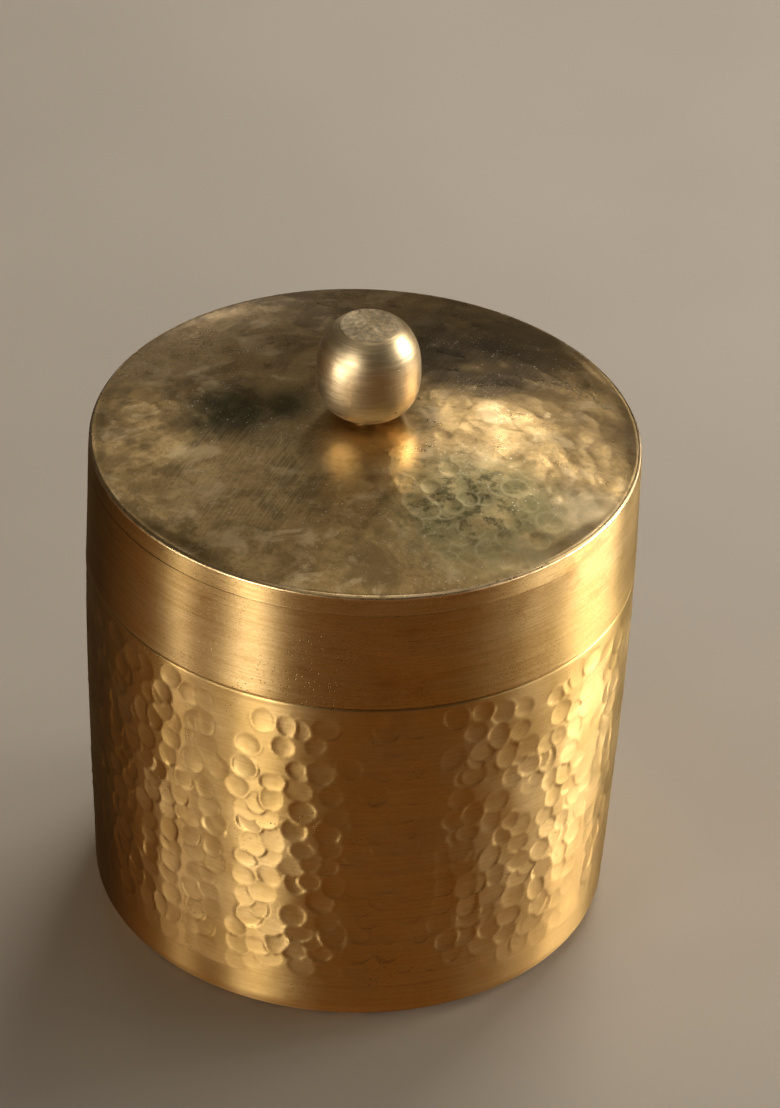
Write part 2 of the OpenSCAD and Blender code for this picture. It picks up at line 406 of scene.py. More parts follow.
EDGE = 0.22
BREAK = 0.03
band_outline = joined(
    line((LID_IN_R, BAND_LOW), (LID_R - EDGE, BAND_LOW), 0.3),
    arc(LID_R - EDGE, BAND_LOW + EDGE, EDGE, -90, 0, 5),
    line((LID_R, BAND_LOW + EDGE), (LID_R, SEAM_Z - 0.01 - BREAK), 0.3),
    [(LID_R - BREAK, SEAM_Z - 0.01)],
    line((LID_IN_R, SEAM_Z - 0.01), (LID_IN_R, BAND_LOW), 1.0))
band = lathe("turned_lid_band", band_outline, 500, band_wear)
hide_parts("lid_band")
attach(band, "lid")


def near(x, y, at_x, at_y, spread):
    """1 at a point of the lid, fading over about spread mm."""
    return np.exp(-((x - at_x) ** 2 + (y - at_y) ** 2) / (2 * spread ** 2))


PLANISH_COUNT, PLANISH_OUT = 620, 47
PLANISH_R = (1.4, 2.6)
PLANISH_DEPTH = 0.095
PLANISH_LEAST = 0.31
SWELLS, SWELL_LENGTH, SWELL_SLOPE = 26, (12, 40), 0.00104


def planish_marks(rng):
    """(distance, angle, radius, depth) of the planishing marks on the dome, deepest at the front right."""
    marks = []
    for _ in range(PLANISH_COUNT):
        away = PLANISH_OUT * math.sqrt(rng.random())
        turn = rng.uniform(0, TURN)
        x, y = away * math.cos(turn), away * math.sin(turn)
        rough = max(near(x, y, 20, -25, 12), 0.45 * near(x, y, -34, 4, 11), 0.4 * near(x, y, 30, 2, 11))
        strength = PLANISH_LEAST + (1 - PLANISH_LEAST) * rough
        marks.append((away, turn, rng.uniform(*PLANISH_R), PLANISH_DEPTH * strength * rng.uniform(0.5, 1.3)))
    return marks


def dome_swell(rng, x, y):
    """The dome's broad unevenness in mm, with a rippled patch on the right."""
    swell = np.zeros_like(x)
    for _ in range(SWELLS):
        heading = rng.uniform(0, TURN)
        length = rng.uniform(*SWELL_LENGTH)
        along = x * math.cos(heading) + y * math.sin(heading)
        wave = np.cos(TURN * along / length + rng.uniform(0, TURN))
        swell += SWELL_SLOPE * length * wave * rng.normal()
    return swell + 0.030 * np.sin(x * 0.62 + 1.3 * np.sin(y * 0.33)) * near(x, y, 26, -2, 13)


def dome_wear(angles, r, z):
    """How far the planished dome stands out, and how near each point is to a mark's rim, from 0 to 1."""
    rng = np.random.default_rng(33)
    x, y = r * np.cos(angles), r * np.sin(angles)
    swell = dome_swell(rng, x, y)
    dish = np.zeros_like(r)
    rims = np.zeros_like(r)
    on_top = (np.arange(len(r)) >= dome_start) & (np.arange(len(r)) < dome_end)
    for away, turn, radius, deep in planish_marks(rng):
        rows = np.nonzero(on_top & (np.abs(r[:, 0] - away) < 1.2 * radius))[0]
        if not len(rows):
            continue
        rho = np.hypot(x[rows] - away * math.cos(turn), y[rows] - away * math.sin(turn)) / radius
        inside = 1 - smooth(0.90, 1.08, rho)
        bowl = 0.4 * dish[rows] - deep * (1 - 0.9 * rho ** 2.6)
        dish[rows] = dish[rows] * (1 - inside) + bowl * inside
        rim = np.exp(-((rho - 1.0) / 0.10) ** 2) * min(1, deep / 0.06)
        rims[rows] = np.maximum(rims[rows] * (1 - inside), rim)
    top = on_top[:, None] * smooth(RIM_R, RIM_R - 2.5, r) * smooth(2, 6, r)
    return (swell + dish) * top, rims * top


DOME_STEP = 0.33
dome_run = [(r, float(dome_at(r))) for r in np.linspace(RIM_R, HOLE_R, round(RIM_R / DOME_STEP)).tolist()]
under_run = [(r, float(dome_at(r)) - CAP_T) for r in np.linspace(HOLE_R, LID_IN_R - 1.2, 26).tolist()]
cap_lower = joined([(LID_IN_R, SEAM_Z), (LID_R - BREAK, SEAM_Z)],
                   line((LID_R, SEAM_Z + BREAK), (LID_R - 0.1, RIM_Z - RIM_ROUND), 0.4),
                   arc(RIM_R, RIM_Z - RIM_ROUND, RIM_ROUND, 8, 84, 8))
dome_start = len(cap_lower)
dome_end = dome_start + len(dome_run)
cap_outline = joined(cap_lower, dome_run, under_run,
                     [(LID_IN_R - LAP, RIM_Z - 2.2), (LID_IN_R - LAP, SEAM_Z - LAP_H),
                      (LID_IN_R, SEAM_Z - LAP_H)])
cap = lathe("domed_lid_cap", cap_outline, 840, dome_wear, field="rims")
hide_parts("lid_cap")
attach(cap, "lid")


# ---- knob and its screw

KNOB_R = knob_high[0]
NECK_R, NECK_H = 3.2, 0.3
LOW_H, HIGH_H = 8.6, 11.1
FULLNESS = 2.5
FLAT_R, FLAT_EDGE = 5.4, 0.25
TAP_R, TAP_H = 2.05, 10
BALL_Z = DOME_Z + NECK_H + LOW_H
FLAT_A = math.acos((FLAT_R / KNOB_R) ** (FULLNESS / 2))
NECK_A = math.acos((NECK_R / KNOB_R) ** (FULLNESS / 2))


def ball_side(start, end, height):
    """The ball's outline between two angles from its widest level. A negative height goes down."""
    return [(KNOB_R * math.cos(a) ** (2 / FULLNESS), BALL_Z + height * math.sin(a) ** (2 / FULLNESS))
            for a in np.linspace(start, end, 50).tolist()]


ball_high = ball_side(0, FLAT_A, HIGH_H)
FLAT_Z = ball_high[-1][1]
FLAT_TOP = FLAT_Z + 0.03
knob_outline = joined([(TAP_R, DOME_Z), (NECK_R, DOME_Z)], ball_side(NECK_A, 0, -LOW_H), ball_high,
                      line((FLAT_R - FLAT_EDGE, FLAT_TOP), (0, FLAT_TOP), 0.25),
                      [(0, DOME_Z + TAP_H), (TAP_R, DOME_Z + TAP_H)])


def knob_wear(angles, r, z):
    """Lathe rings on the ball, and an uneven flat."""
    rng = np.random.default_rng(55)
    rings = 0.007 * np.sin(z * 13 + 2 * np.sin(z * 1.9)) + 0.005 * np.sin(z * 27 + 1)
    on_flat = z > FLAT_Z - 0.02
    lumps = waves(rng, angles, r * 1.1, 16, 6, 2.2, 0.035)
    return np.where(on_flat, lumps * smooth(0, 1.5, r), rings * (r > 2.6))


knob = lathe("ball_knob", knob_outline, 220, knob_wear, sharp=28)
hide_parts("knob")
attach(knob, "lid")


def carved(ob, cutter):
    """Cuts the cutter's shape out of ob, keeps the result as ob's mesh and removes the cutter."""
    cut = ob.modifiers.new("cut", "BOOLEAN")
    cut.operation, cut.object, cut.solver = "DIFFERENCE", cutter, "EXACT"
    bpy.context.view_layer.update()
    result = bpy.data.meshes.new_from_object(ob.evaluated_get(bpy.context.evaluated_depsgraph_get()))
    ob.modifiers.clear()
    ob.data = result
    ob.data.set_sharp_from_angle(angle=math.radians(35))
    bpy.data.objects.remove(cutter)


def block(low, high):
    """A box in mm that only serves as a cutter."""
    corners = np.array([[(low, high)[b >> k & 1][k] for k in range(3)] for b in range(8)], float)
    sides = np.array([[0, 2, 3, 1], [4, 5, 7, 6], [0, 1, 5, 4], [2, 6, 7, 3], [0, 4, 6, 2], [1, 3, 7, 5]])
    return mesh_object("cutter", corners, sides, np.zeros((0, 3), int))


SCREW_R, HEAD_R, HEAD_H, HEAD_ROUND, SLOT_W, SLOT_DEPTH = 2.0, 3.8, 2.2, 1.2, 1.0, 1.1
WASHER_R, WASHER_T, WASHER_ROUND, WASHER_BREAK = 5.4, 0.8, 0.2, 0.1
THREAD_PITCH, THREAD_DEPTH = 0.7, 0.3
head_top = DOME_Z - CAP_T - WASHER_T
head_low = head_top - HEAD_H
seat_z = head_top - 0.01
washer_top = head_top + WASHER_T


def thread(angles, r, z):
    """A helical ridge on the shank."""
    turn = z / THREAD_PITCH - angles / TURN
    ridge = np.abs((turn % 1) - 0.5) * 2
    shank = smooth(head_top + 0.3, head_top + 0.8, z) * (r > 1.5)
    return -THREAD_DEPTH * ridge * shank


screw_outline = joined(
    line((0, head_low), (HEAD_R - HEAD_ROUND, head_low), 0.5),
    arc(HEAD_R - HEAD_ROUND, head_low + HEAD_ROUND, HEAD_ROUND, -90, 0, 10),
    [(HEAD_R, head_top - 0.15), (HEAD_R - 0.15, seat_z)],
    line((SCREW_R, seat_z), (SCREW_R, DOME_Z + 8.5), 0.09), [(1.5, DOME_Z + 8.9), (0, DOME_Z + 8.9)])
screw = lathe("knob_fixing_screw", screw_outline, 72, thread)
carved(screw, block((-5, -SLOT_W / 2, head_low - 1), (5, SLOT_W / 2, head_low + SLOT_DEPTH)))
washer_outline = joined(
    [(HOLE_R, head_top + WASHER_BREAK), (HOLE_R + WASHER_BREAK, head_top)],
    arc(WASHER_R - WASHER_ROUND, head_top + WASHER_ROUND, WASHER_ROUND, -90, 0, 4),
    arc(WASHER_R - WASHER_ROUND, washer_top - WASHER_ROUND, WASHER_ROUND, 0, 90, 4),
    [(HOLE_R + WASHER_BREAK, washer_top), (HOLE_R, washer_top - WASHER_BREAK)])
washer = lathe("knob_fixing_washer", washer_outline, 96)
for piece, node in ((screw, "knob_screw"), (washer, "knob_washer")):
    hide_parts(node)
    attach(piece, "lid")


# ---- cups

CUP_T, CUP_FOOT_R, CUP_TOP_R, CUP_CORNER, BEAD_R = 0.8, 13.25, 14.4, 3.0, 0.8
CUP_LOW, CUP_TOP = cup_low[2], cup_high[2]
BEAD_Z = CUP_TOP - BEAD_R
BEAD_AT = CUP_TOP_R - CUP_T / 2 + 0.2
foot_flat, corner_z = CUP_FOOT_R - CUP_CORNER, CUP_LOW + CUP_CORNER
cup_outline = joined(
    line((0, CUP_LOW), (foot_flat, CUP_LOW), 1.5), arc(foot_flat, corner_z, CUP_CORNER, -90, 0, 12),
    line((CUP_FOOT_R, corner_z), (CUP_TOP_R - 0.02, BEAD_Z - 0.8), 0.5),
    arc(BEAD_AT, BEAD_Z, BEAD_R, -50, 215, 18),
    line((CUP_TOP_R - CUP_T, BEAD_Z - 0.6), (CUP_FOOT_R - CUP_T, corner_z), 0.5),
    arc(foot_flat, corner_z, CUP_CORNER - CUP_T, 0, -90, 8),
    line((foot_flat, CUP_LOW + CUP_T), (0, CUP_LOW + CUP_T), 1.0))


def spun(seed):
    """Spinning marks and slight dents that differ from cup to cup."""
    def wear(angles, r, z):
        rng = np.random.default_rng(seed)
        marks = 0.010 * np.sin(z * 5.5 + 2 * np.sin(z * 0.9 + seed)) + 0.006 * np.sin(z * 12 + seed)
        dents = waves(rng, angles, z / 10, 8, 6, 1, 0.035)
        wall = smooth(CUP_LOW + 2, CUP_LOW + 6, z) * (1 - smooth(BEAD_Z - 3, BEAD_Z - 1, z))
        return (marks + dents * np.where(r > CUP_FOOT_R - 0.3, 1.0, -1.0)) * wall
    return wear


def cup_name(i):
    """The body and the node of cup i, where 0 is the one in the middle."""
    return "centre_cup" if i == 0 else f"cup_{i}"


cups = []
for i in range(CUP_COUNT + 1):
    low, high = node_mm(cup_name(i))
    middle = (low + high) / 2
    ob = lathe(f"spun_{cup_name(i)}", cup_outline, 120, spun(70 + i), centre=(middle[0], middle[1]))
    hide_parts(cup_name(i))
    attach(ob, cup_name(i))
    cups.append(ob)


# ---- spoon

bowl_low, bowl_high = node_mm("spoon_bowl")
bowl_at = (bowl_low + bowl_high) / 2
BOWL_R = (bowl_high[0] - bowl_low[0]) / 2
SPOON_T, SPOON_CORNER, SPOON_SPLAY, SPOON_ROUND = 1.0, 5.0, 1.0, 0.45
HANDLE_W, HANDLE_LEN = 5.0, 60.0
BOWL_Z, RIM_LEVEL = bowl_low[2], bowl_high[2]
BOWL_FOOT_R = BOWL_R - SPOON_SPLAY
bowl_flat, bend_z = BOWL_FOOT_R - SPOON_CORNER, BOWL_Z + SPOON_CORNER
bowl_outline = joined(
    line((0, BOWL_Z), (bowl_flat, BOWL_Z), 0.8), arc(bowl_flat, bend_z, SPOON_CORNER, -90, 0, 16),
    line((BOWL_FOOT_R, bend_z), (BOWL_R, RIM_LEVEL - 0.35), 0.4),
    arc(BOWL_R - 0.5, RIM_LEVEL - SPOON_ROUND, SPOON_ROUND, 10, 170, 8),
    line((BOWL_R - SPOON_T, RIM_LEVEL - SPOON_ROUND), (BOWL_FOOT_R - SPOON_T, bend_z), 0.4),
    arc(bowl_flat, bend_z, SPOON_CORNER - SPOON_T, 0, -90, 12),
    line((bowl_flat, BOWL_Z + SPOON_T), (0, BOWL_Z + SPOON_T), 0.8))


def beaten(angles, r, z):
    """The spoon's bowl was beaten over a stake, so it is a little uneven."""
    rng = np.random.default_rng(91)
    return waves(rng, angles, z / 2, 10, 7, 1.2, 0.04) * smooth(0.5, 3, r)


bowl = lathe("spice_spoon_bowl", bowl_outline, 120, beaten, centre=(bowl_at[0], bowl_at[1]))

HANDLE_END = BOWL_R - 0.5 + HANDLE_LEN
PAD_R = 0.8 * HANDLE_W
PAD_X = HANDLE_END - PAD_R
WAIST_X, WAIST_SPREAD, WAIST = 24, 10, 0.12


def handle_half_width(x):
    """Half the handle's width at x mm from the bowl's centre: a slight waist, then a round pad."""
    waist = HANDLE_W / 2 * (1 - WAIST * np.exp(-((x - WAIST_X) / WAIST_SPREAD) ** 2))
    pad = np.sqrt(np.maximum(0.02, PAD_R ** 2 - (x - PAD_X) ** 2))
    return np.where(x > PAD_X - 3.1, np.where(x < PAD_X, np.maximum(waist, pad), pad), waist)


def strip(stations, around=20):
    """Points and faces of a flat bar along x with rounded edges, its underside on z = 0, closed at both ends.

    stations are (x, half the width) pairs.
    """
    t = TURN * np.arange(around) / around
    rings = []
    for x, half in stations:
        edge = min(0.35, half * 0.5)
        cy = np.sign(np.cos(t)) * (half - edge) + edge * np.cos(t)
        cz = SPOON_T / 2 + (SPOON_T / 2 - 0.01) * np.sign(np.sin(t)) * np.abs(np.sin(t)) ** 0.5
        rings.append(np.stack([np.full(around, x), cy, cz], 1))
    points = np.concatenate(rings)
    col = np.arange(around)
    nxt = (col + 1) % around
    quads = [np.stack([i * around + col, i * around + nxt, (i + 1) * around + nxt, (i + 1) * around + col], 1)
             for i in range(len(stations) - 1)]
    ends = np.array([[0, c + 1, c] for c in range(1, around - 1)])
    far = (len(stations) - 1) * around
    other = np.array([[far, far + c, far + c + 1] for c in range(1, around - 1)])
    return points, np.concatenate(quads), np.concatenate([ends, other])


END_RUN = 9
end_turn = np.linspace(0.05, 1, 26) * math.pi / 2
stops = np.concatenate([np.linspace(BOWL_R - 1.6, HANDLE_END - END_RUN, 40),
                        HANDLE_END - END_RUN * np.cos(end_turn)])
stops = np.minimum(stops, HANDLE_END - 0.01)
points, quads, triangles = strip([(x, float(handle_half_width(x))) for x in stops])
handle = mesh_object("spice_spoon_handle", points, quads, triangles)
centre = np.array([bowl_at[0], bowl_at[1], RIM_LEVEL])
heading = math.atan2(-bowl_at[1], -bowl_at[0])
handle.data.transform(Matrix.Translation(Vector(centre * MM)) @ Matrix.Rotation(heading, 4, "Z"))
for piece, node in ((bowl, "spoon_bowl"), (handle, "spoon_handle")):
    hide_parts(node)
    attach(piece, "spoon")


# ---- materials

# Where a Mix node takes its two colours, and where it gives the mixed one.
COLOUR_A, COLOUR_B, COLOUR_OUT = 6, 7, 2


class Look:
    """One node material. Its noise scales are per metre, on coordinates that move with the piece."""

    def __init__(self, name):
        self.mat = bpy.data.materials.new(name)
        self.mat.use_nodes = True
        self.tree = self.mat.node_tree
        self.shader = self.tree.nodes["Principled BSDF"]
        self.place = self.put("TexCoord")["Object"]
        self.colour = None
        self.normal = None

    def put(self, kind, settings=None, inputs=None):
        """Adds a node and gives its outputs. An input is a value or another node's output."""
        node = self.tree.nodes.new("ShaderNode" + kind)
        for key, value in (settings or {}).items():
            setattr(node, key, value)
        for key, value in (inputs or {}).items():
            self.feed(node.inputs[key], value)
        return node.outputs

    def feed(self, socket, value):
        """Links an output to the socket, or sets a plain value. None leaves it as it is."""
        if isinstance(value, bpy.types.NodeSocket):
            self.tree.links.new(value, socket)
        elif value is not None:
            socket.default_value = value

    def stretch(self, x, y, z, place=None):
        """The place on the piece with each axis multiplied, so that noise on it runs in lines."""
        return self.put("VectorMath", {"operation": "MULTIPLY"}, {0: place or self.place, 1: (x, y, z)})[0]

    def noise(self, scale, detail=3.0, rough=0.55, vector=None, twist=0.0):
        return self.put("TexNoise", None, {"Vector": vector or self.place, "Scale": scale, "Detail": detail,
                                           "Roughness": rough, "Distortion": twist})["Fac"]

    def cells(self, scale):
        """Distance to the nearest of many scattered points."""
        return self.put("TexVoronoi", {"feature": "F1"}, {"Vector": self.place, "Scale": scale})["Distance"]

    def mark(self, name):
        """A vertex attribute that the mesh carries."""
        return self.put("Attribute", {"attribute_name": name})["Fac"]

    def math(self, operation, a, b=0.0):
        return self.put("Math", {"operation": operation}, {0: a, 1: b})[0]

    def times(self, a, b):
        return self.math("MULTIPLY", a, b)

    def plus(self, a, b):
        return self.math("ADD", a, b)

    def step(self, value, low, high, out_low=0.0, out_high=1.0):
        """value mapped smoothly from low..high to out_low..out_high."""
        return self.put("MapRange", {"interpolation_type": "SMOOTHSTEP"},
                        {0: value, 1: low, 2: high, 3: out_low, 4: out_high})[0]

    def mix(self, amount, a, b):
        """Colour a where amount is 0 and colour b where it is 1."""
        return self.put("Mix", {"data_type": "RGBA"}, {0: amount, COLOUR_A: a, COLOUR_B: b})[COLOUR_OUT]

    def lay(self, dye, where):
        """Lays a dye over the metal's colour where `where` is 1."""
        self.colour = self.mix(where, self.colour, dye)

    def over(self, dye, where, strength):
        """Lays a dye over the metal's colour at this strength where `where` is 1."""
        self.lay(dye, self.times(where, strength))

    def spot(self, x, y, z, radius, soft):
        """1 within radius mm of a point, falling to 0 over soft mm."""
        away = self.put("VectorMath", {"operation": "DISTANCE"},
                        {0: self.place, 1: (x * MM, y * MM, z * MM)})["Value"]
        return self.step(away, (radius + soft) * MM, radius * MM)

    def xyz(self):
        return self.put("SeparateXYZ", None, {0: self.place})

    def bump(self, height, depth_mm, strength=1.0):
        """Adds relief on top of what was added before."""
        self.normal = self.put("Bump", None, {"Height": height, "Distance": depth_mm * MM,
                                              "Strength": strength, "Normal": self.normal})["Normal"]

    def specks(self, scale, size, gate):
        """Small round pits: 1 inside each, only where gate is high."""
        return self.times(self.step(self.cells(scale), size, size * 0.55), gate)

    def shade(self, inputs):
        for name, value in inputs.items():
            self.feed(self.shader.inputs[name], value)

    def finish(self, roughness, anisotropic=0.0):
        """The finished metal. An anisotropic one draws its highlights out, as turned metal does."""
        self.shade({"Metallic": 1.0, "Base Color": self.colour, "Roughness": roughness,
                    "Normal": self.normal})
        if anisotropic:
            round_z = self.put("Tangent", {"direction_type": "RADIAL", "axis": "Z"})[0]
            self.shade({"Anisotropic": anisotropic, "Anisotropic Rotation": 0.25, "Tangent": round_z})
        return self.mat


def rgb(r, g, b):
    return (r, g, b, 1.0)


PALE = rgb(0.78, 0.55, 0.24)
GOLD = rgb(0.67, 0.445, 0.15)
WARM = rgb(0.48, 0.27, 0.075)
BROWN = rgb(0.20, 0.115, 0.045)
SOOT = rgb(0.05, 0.035, 0.02)


def body_metal(k):
    """Gives k the colour, stains and painted shade low at the front left and front right that the drum and
    its base share, and returns their roughness.
    """
    broad = k.noise(22, 3)
    patch = k.noise(95, 4, 0.6)
    tone = k.plus(k.times(broad, 0.55), k.times(patch, 0.45))
    k.colour = k.mix(k.step(tone, 0.36, 0.64), GOLD, PALE)
    stain_and_dark_reflection = k.step(k.noise(46, 5, 0.65, k.stretch(1, 1, 0.45)), 0.55, 0.75)
    k.over(WARM, stain_and_dark_reflection, 0.5)
    lines = k.noise(1, 3, 0.6, k.stretch(60, 60, 1900))
    k.lay(WARM, k.step(lines, 0.40, 0.66, 0.0, 0.22))
    k.bump(lines, 0.010, 0.5)
    k.bump(k.noise(330, 4, 0.6), 0.03, 0.5)
    k.bump(k.noise(2600, 3, 0.6), 0.006, 0.5)
    grain = k.noise(1, 3, 0.7, k.stretch(700, 700, 4200))
    k.lay(WARM, k.step(grain, 0.42, 0.66, 0.0, 0.25))
    # Painted shade low on the front right and the front left of the body.
    for place in ((44, -22, 8), (-40, -26, 4)):
        painted_low_shade = k.spot(*place, 12, 26)
        k.lay(WARM, k.times(painted_low_shade, k.step(patch, 0.35, 0.65, 0.35, 0.7)))
    return k.step(patch, 0.35, 0.70, 0.36, 0.43)


def hammered_brass():
    """The drum: the body's metal with brown dirt and painted shade along the marks' lower edges, and cracks
    there.
    """
    k = Look("hammered_brass_look")
    roughness = body_metal(k)
    hollow = k.mark("hollow")
    # Brown dirt with painted shade along each mark's lower edge, broken up by noise.
    grime_and_painted_shade = k.times(k.step(hollow, 0.25, 0.95), k.step(k.noise(120, 3), 0.42, 0.66, 0.04, 0.45))
    k.lay(BROWN, grime_and_painted_shade)
    crack = k.times(k.step(hollow, 0.5, 0.9), k.step(k.noise(70, 2), 0.66, 0.74))
    pits = k.specks(1500, 0.24, k.step(k.noise(80, 2), 0.60, 0.70))
    k.lay(SOOT, k.times(k.math("MAXIMUM", crack, pits), 0.8))
    k.bump(k.math("SUBTRACT", 1.0, pits), 0.04, 0.6)
    return k.finish(k.plus(roughness, k.times(grime_and_painted_shade, 0.12)), 0.90)


def satin_brass():
    """The base: the body's metal with painted shade near the foot, where it meets the floor."""
    k = Look("satin_brass_look")
    roughness = body_metal(k)
    height = k.xyz()[2]
    # Painted shade on the lowest 2 mm of the foot, next to the floor.
    grime_and_painted_shade = k.times(k.step(height, 0.0022, 0.0002), k.step(k.noise(160, 3), 0.35, 0.65, 0.3, 0.8))
    k.lay(BROWN, grime_and_painted_shade)
    pits = k.specks(1400, 0.22, k.step(k.noise(90, 2), 0.58, 0.70))
    k.over(SOOT, pits, 0.7)
    return k.finish(k.plus(roughness, k.times(grime_and_painted_shade, 0.2)), 0.90)


def turned_brass(name="turned_brass_look", clean=0.0):
    """Lathe lines, stains, pits and dust, with a painted shadow in the seam at the left. A clean one has
    fewer stains.
    """
    k = Look(name)
    broad = k.noise(24, 3)
    fine = k.noise(1, 4, 0.75, k.stretch(120, 120, 4300))
    lines = k.noise(1, 3, 0.65, k.stretch(38, 38, 1500))
    grain = k.noise(1, 3, 0.7, k.stretch(1500, 1500, 3600))
    tone = k.plus(k.times(broad, 0.6), k.times(lines, 0.4))
    k.colour = k.mix(k.step(tone, 0.38, 0.62), GOLD, PALE)
    k.lay(WARM, k.step(fine, 0.42, 0.64, 0.0, 0.46))
    k.lay(WARM, k.step(grain, 0.46, 0.68, 0.0, 0.40))
    stain_and_dark_reflection = k.step(k.noise(58, 5, 0.68, k.stretch(1, 1, 1.6)), 0.52, 0.72)
    k.over(WARM, stain_and_dark_reflection, 0.7 * (1 - clean))
    height = k.xyz()[2]
    upper = k.step(height, (RIM_Z - 6) * MM, (RIM_Z - 1) * MM)
    smear = k.times(k.step(k.noise(90, 4, 0.7, k.stretch(1, 1, 2.2)), 0.52, 0.68), upper)
    k.over(BROWN, smear, 0.5 * (1 - clean))
    gate = k.step(k.noise(55, 2), 0.46, 0.64)
    pits = k.specks(1300, 0.22, gate)
    small = k.specks(2600, 0.28, k.step(k.noise(130, 2), 0.47, 0.62))
    k.lay(BROWN, k.times(k.math("MAXIMUM", pits, small), 0.75 * (1 - clean)))
    dust = k.specks(1300, 0.16, k.step(k.noise(90, 2), 0.54, 0.66))
    k.over(rgb(0.88, 0.78, 0.58), dust, 0.6 * (1 - clean))
    # Painted shadow in the gap of the seam, only at the left.
    seam = k.step(k.math("ABSOLUTE", k.math("SUBTRACT", height, SEAM_Z * MM)), 0.00016, 0.00003)
    seam = k.times(seam, k.times(k.spot(-44, -20, SEAM_Z, 22, 26), k.step(k.noise(40, 3), 0.3, 0.6)))
    k.over(SOOT, seam, 0.85)
    k.bump(lines, 0.008, 0.6)
    k.bump(fine, 0.012, 0.5)
    k.bump(k.math("SUBTRACT", 1.0, pits), 0.04, 0.5 * (1 - clean))
    roughness = k.plus(k.step(k.noise(75, 3), 0.3, 0.7, 0.35, 0.42), k.step(lines, 0.35, 0.7, 0.0, 0.04))
    return k.finish(roughness, 0.88)


def edge_brass():
    """The lid's rounded edge, which hands and cloths keep bright."""
    k = Look("edge_brass_look")
    nicks = k.noise(420, 4, 0.7)
    k.colour = k.mix(k.step(k.noise(60, 3), 0.35, 0.65), rgb(0.70, 0.48, 0.22), rgb(0.84, 0.61, 0.33))
    k.lay(BROWN, k.step(nicks, 0.54, 0.70, 0.0, 0.7))
    k.bump(nicks, 0.03, 0.6)
    return k.finish(k.step(nicks, 0.35, 0.7, 0.26, 0.38))


SCRATCHES_RUN = -66


